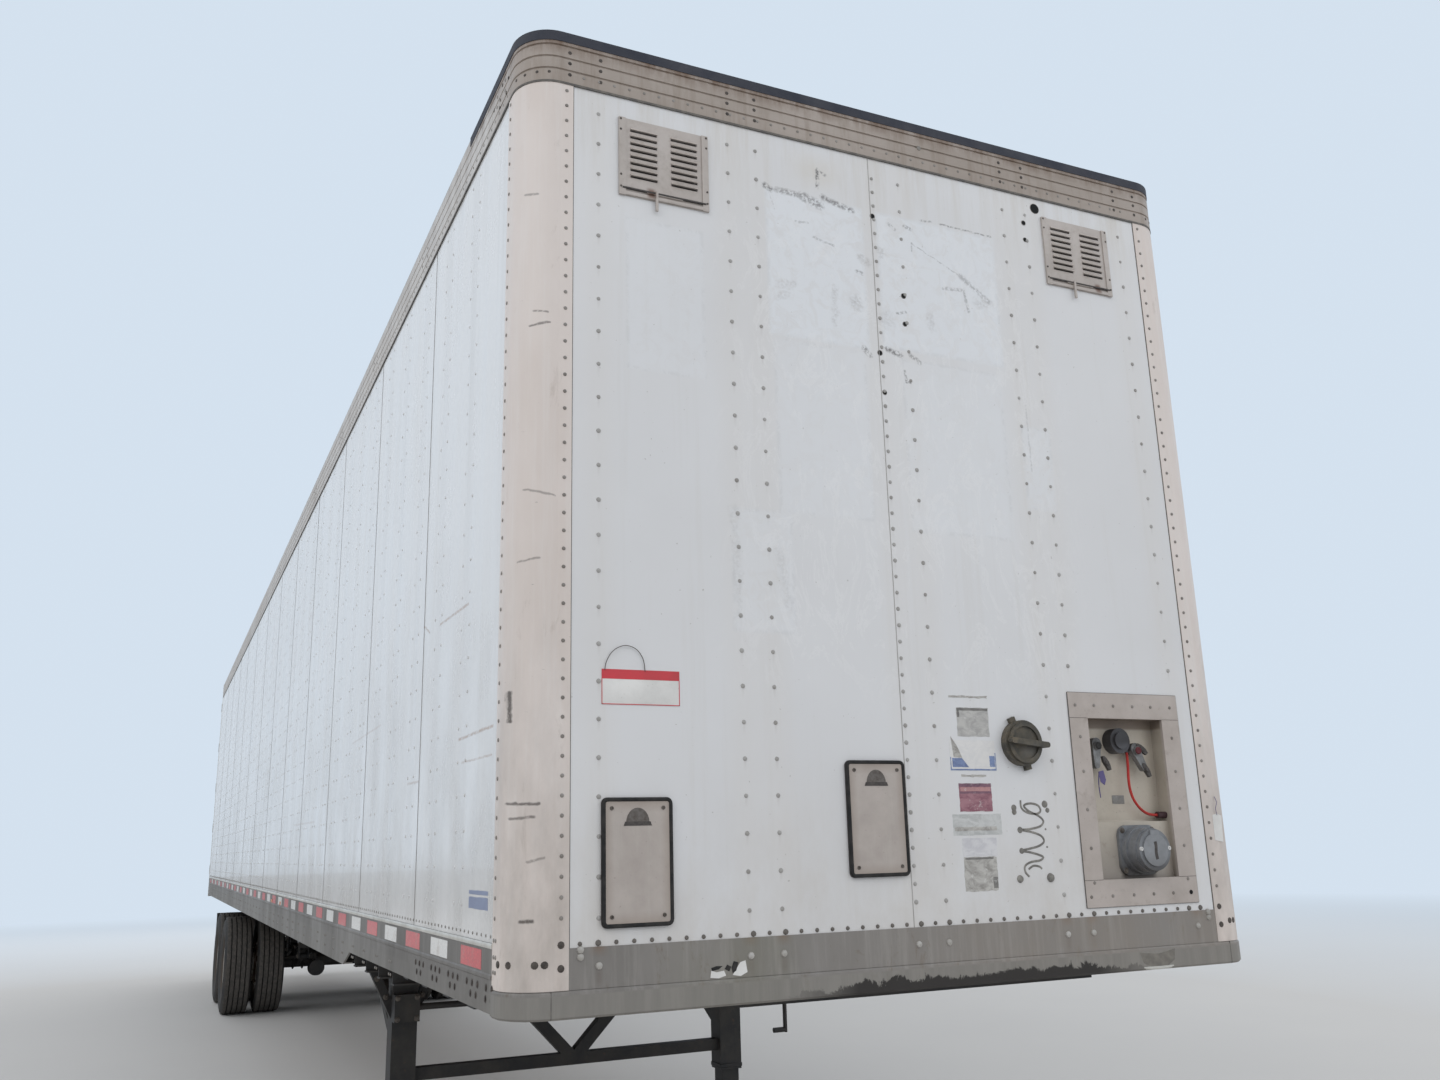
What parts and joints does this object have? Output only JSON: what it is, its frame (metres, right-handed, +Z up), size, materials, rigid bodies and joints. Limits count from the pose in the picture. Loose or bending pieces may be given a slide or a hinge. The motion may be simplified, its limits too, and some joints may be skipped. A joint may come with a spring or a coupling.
{
  "type": "semi trailer",
  "caption": "Long dry-van semi trailer of riveted sheet, with swing rear doors, landing legs, a kingpin and a sliding tandem on dual wheels.",
  "frame": {"origin": "on the ground, at the middle of the whole length and width", "axes": "+Y to the rear doors, the nose faces -Y; +X to the road (driver's) side; +Z up"},
  "size_m": [2.591, 16.296, 4.115],
  "materials": {
    "white_sheet": "gloss white prepainted sheet, worn",
    "rail_aluminium": "weathered extrusion",
    "rail_steel": "galvanised, stained",
    "frame_steel": "black chassis coating, dusty",
    "white_steel": "white paint on steel, worn",
    "floor_wood": "oiled laminated hardwood",
    "roofing": "dark roofing lap",
    "roof_metal": "mill finish roof sheet",
    "vent_metal": "weathered sheet",
    "gasket": "black rubber",
    "cover_plate": "grey plate with black edge",
    "cap_plastic": "dark olive cap",
    "cast_metal": "cast couplings",
    "grey_plastic": "grey socket housing",
    "tyre": "black rubber, dusty",
    "rim_steel": "white disc wheels",
    "flap_rubber": "black flaps",
    "lamp_red": "red lens",
    "red_hose": "red air hose",
    "lamp_amber": "amber lens",
    "kingpin_steel": "greased steel"
  },
  "bodies": {
    "van": {"floor_deck": "floor_wood", "crossmembers": "frame_steel", "side_rails": "rail_aluminium", "side_walls": "white_sheet", "top_rails": "rail_aluminium", "nose_top_rail": "rail_aluminium", "nose_bottom_rail": "rail_steel", "corner_posts": "rail_aluminium", "nose_wall": "white_sheet", "connection_box": "vent_metal", "gladhands": "cast_metal", "supply_hose": "red_hose", "side_markers": "lamp_amber", "power_receptacle": "grey_plastic", "document_tube": "cap_plastic", "nose_vents": "vent_metal", "nose_covers": "cover_plate", "roof_sheet": "roof_metal", "roof_bows": "rail_steel", "roof_cap": "roofing", "rear_frame": "white_steel", "rear_fittings": "rail_steel", "rear_guard": "white_steel", "dock_bumpers": "gasket", "lamps_red": "lamp_red", "coupler_plate": "frame_steel", "kingpin": "kingpin_steel", "landing_legs": "frame_steel", "landing_brace": "frame_steel", "landing_crank": "frame_steel", "slider_rails": "frame_steel"},
    "tandem": {"slider_frame": "frame_steel", "spring_hangers": "frame_steel", "leaf_springs": "frame_steel", "axles": "frame_steel", "brake_gear": "frame_steel", "mud_flaps": "flap_rubber"},
    "door_left": {"door_left_leaf": "white_sheet", "door_left_hardware": "rail_steel"},
    "door_right": {"door_right_leaf": "white_sheet", "door_right_hardware": "rail_steel"},
    "wheels_front_right": {"tyres_front_right": "tyre", "rims_front_right": "rim_steel"},
    "wheels_front_left": {"tyres_front_left": "tyre", "rims_front_left": "rim_steel"},
    "wheels_rear_right": {"tyres_rear_right": "tyre", "rims_rear_right": "rim_steel"},
    "wheels_rear_left": {"tyres_rear_left": "tyre", "rims_rear_left": "rim_steel"}
  },
  "joints": [
    {"name": "tandem_slide", "type": "slide", "parent": "van", "child": "tandem", "axis": [0, 1, 0], "range_m": [-1.829, 1.219]},
    {"name": "wheels_front_right_spin", "type": "hinge", "parent": "tandem", "child": "wheels_front_right", "pos_m": [-0.9865, 3.738, 0.505], "axis": [1, 0, 0], "continuous": true},
    {"name": "wheels_front_left_spin", "type": "hinge", "parent": "tandem", "child": "wheels_front_left", "pos_m": [0.9865, 3.738, 0.505], "axis": [1, 0, 0], "continuous": true},
    {"name": "wheels_rear_right_spin", "type": "hinge", "parent": "tandem", "child": "wheels_rear_right", "pos_m": [-0.9865, 5.008, 0.505], "axis": [1, 0, 0], "continuous": true},
    {"name": "wheels_rear_left_spin", "type": "hinge", "parent": "tandem", "child": "wheels_rear_left", "pos_m": [0.9865, 5.008, 0.505], "axis": [1, 0, 0], "continuous": true},
    {"name": "door_left_swing", "type": "hinge", "parent": "van", "child": "door_left", "pos_m": [1.2855, 8.096, 2.64], "axis": [0, 0, -1], "range_deg": [0, 260]},
    {"name": "door_right_swing", "type": "hinge", "parent": "van", "child": "door_right", "pos_m": [-1.2855, 8.096, 2.64], "axis": [0, 0, 1], "range_deg": [0, 260]}
  ]
}
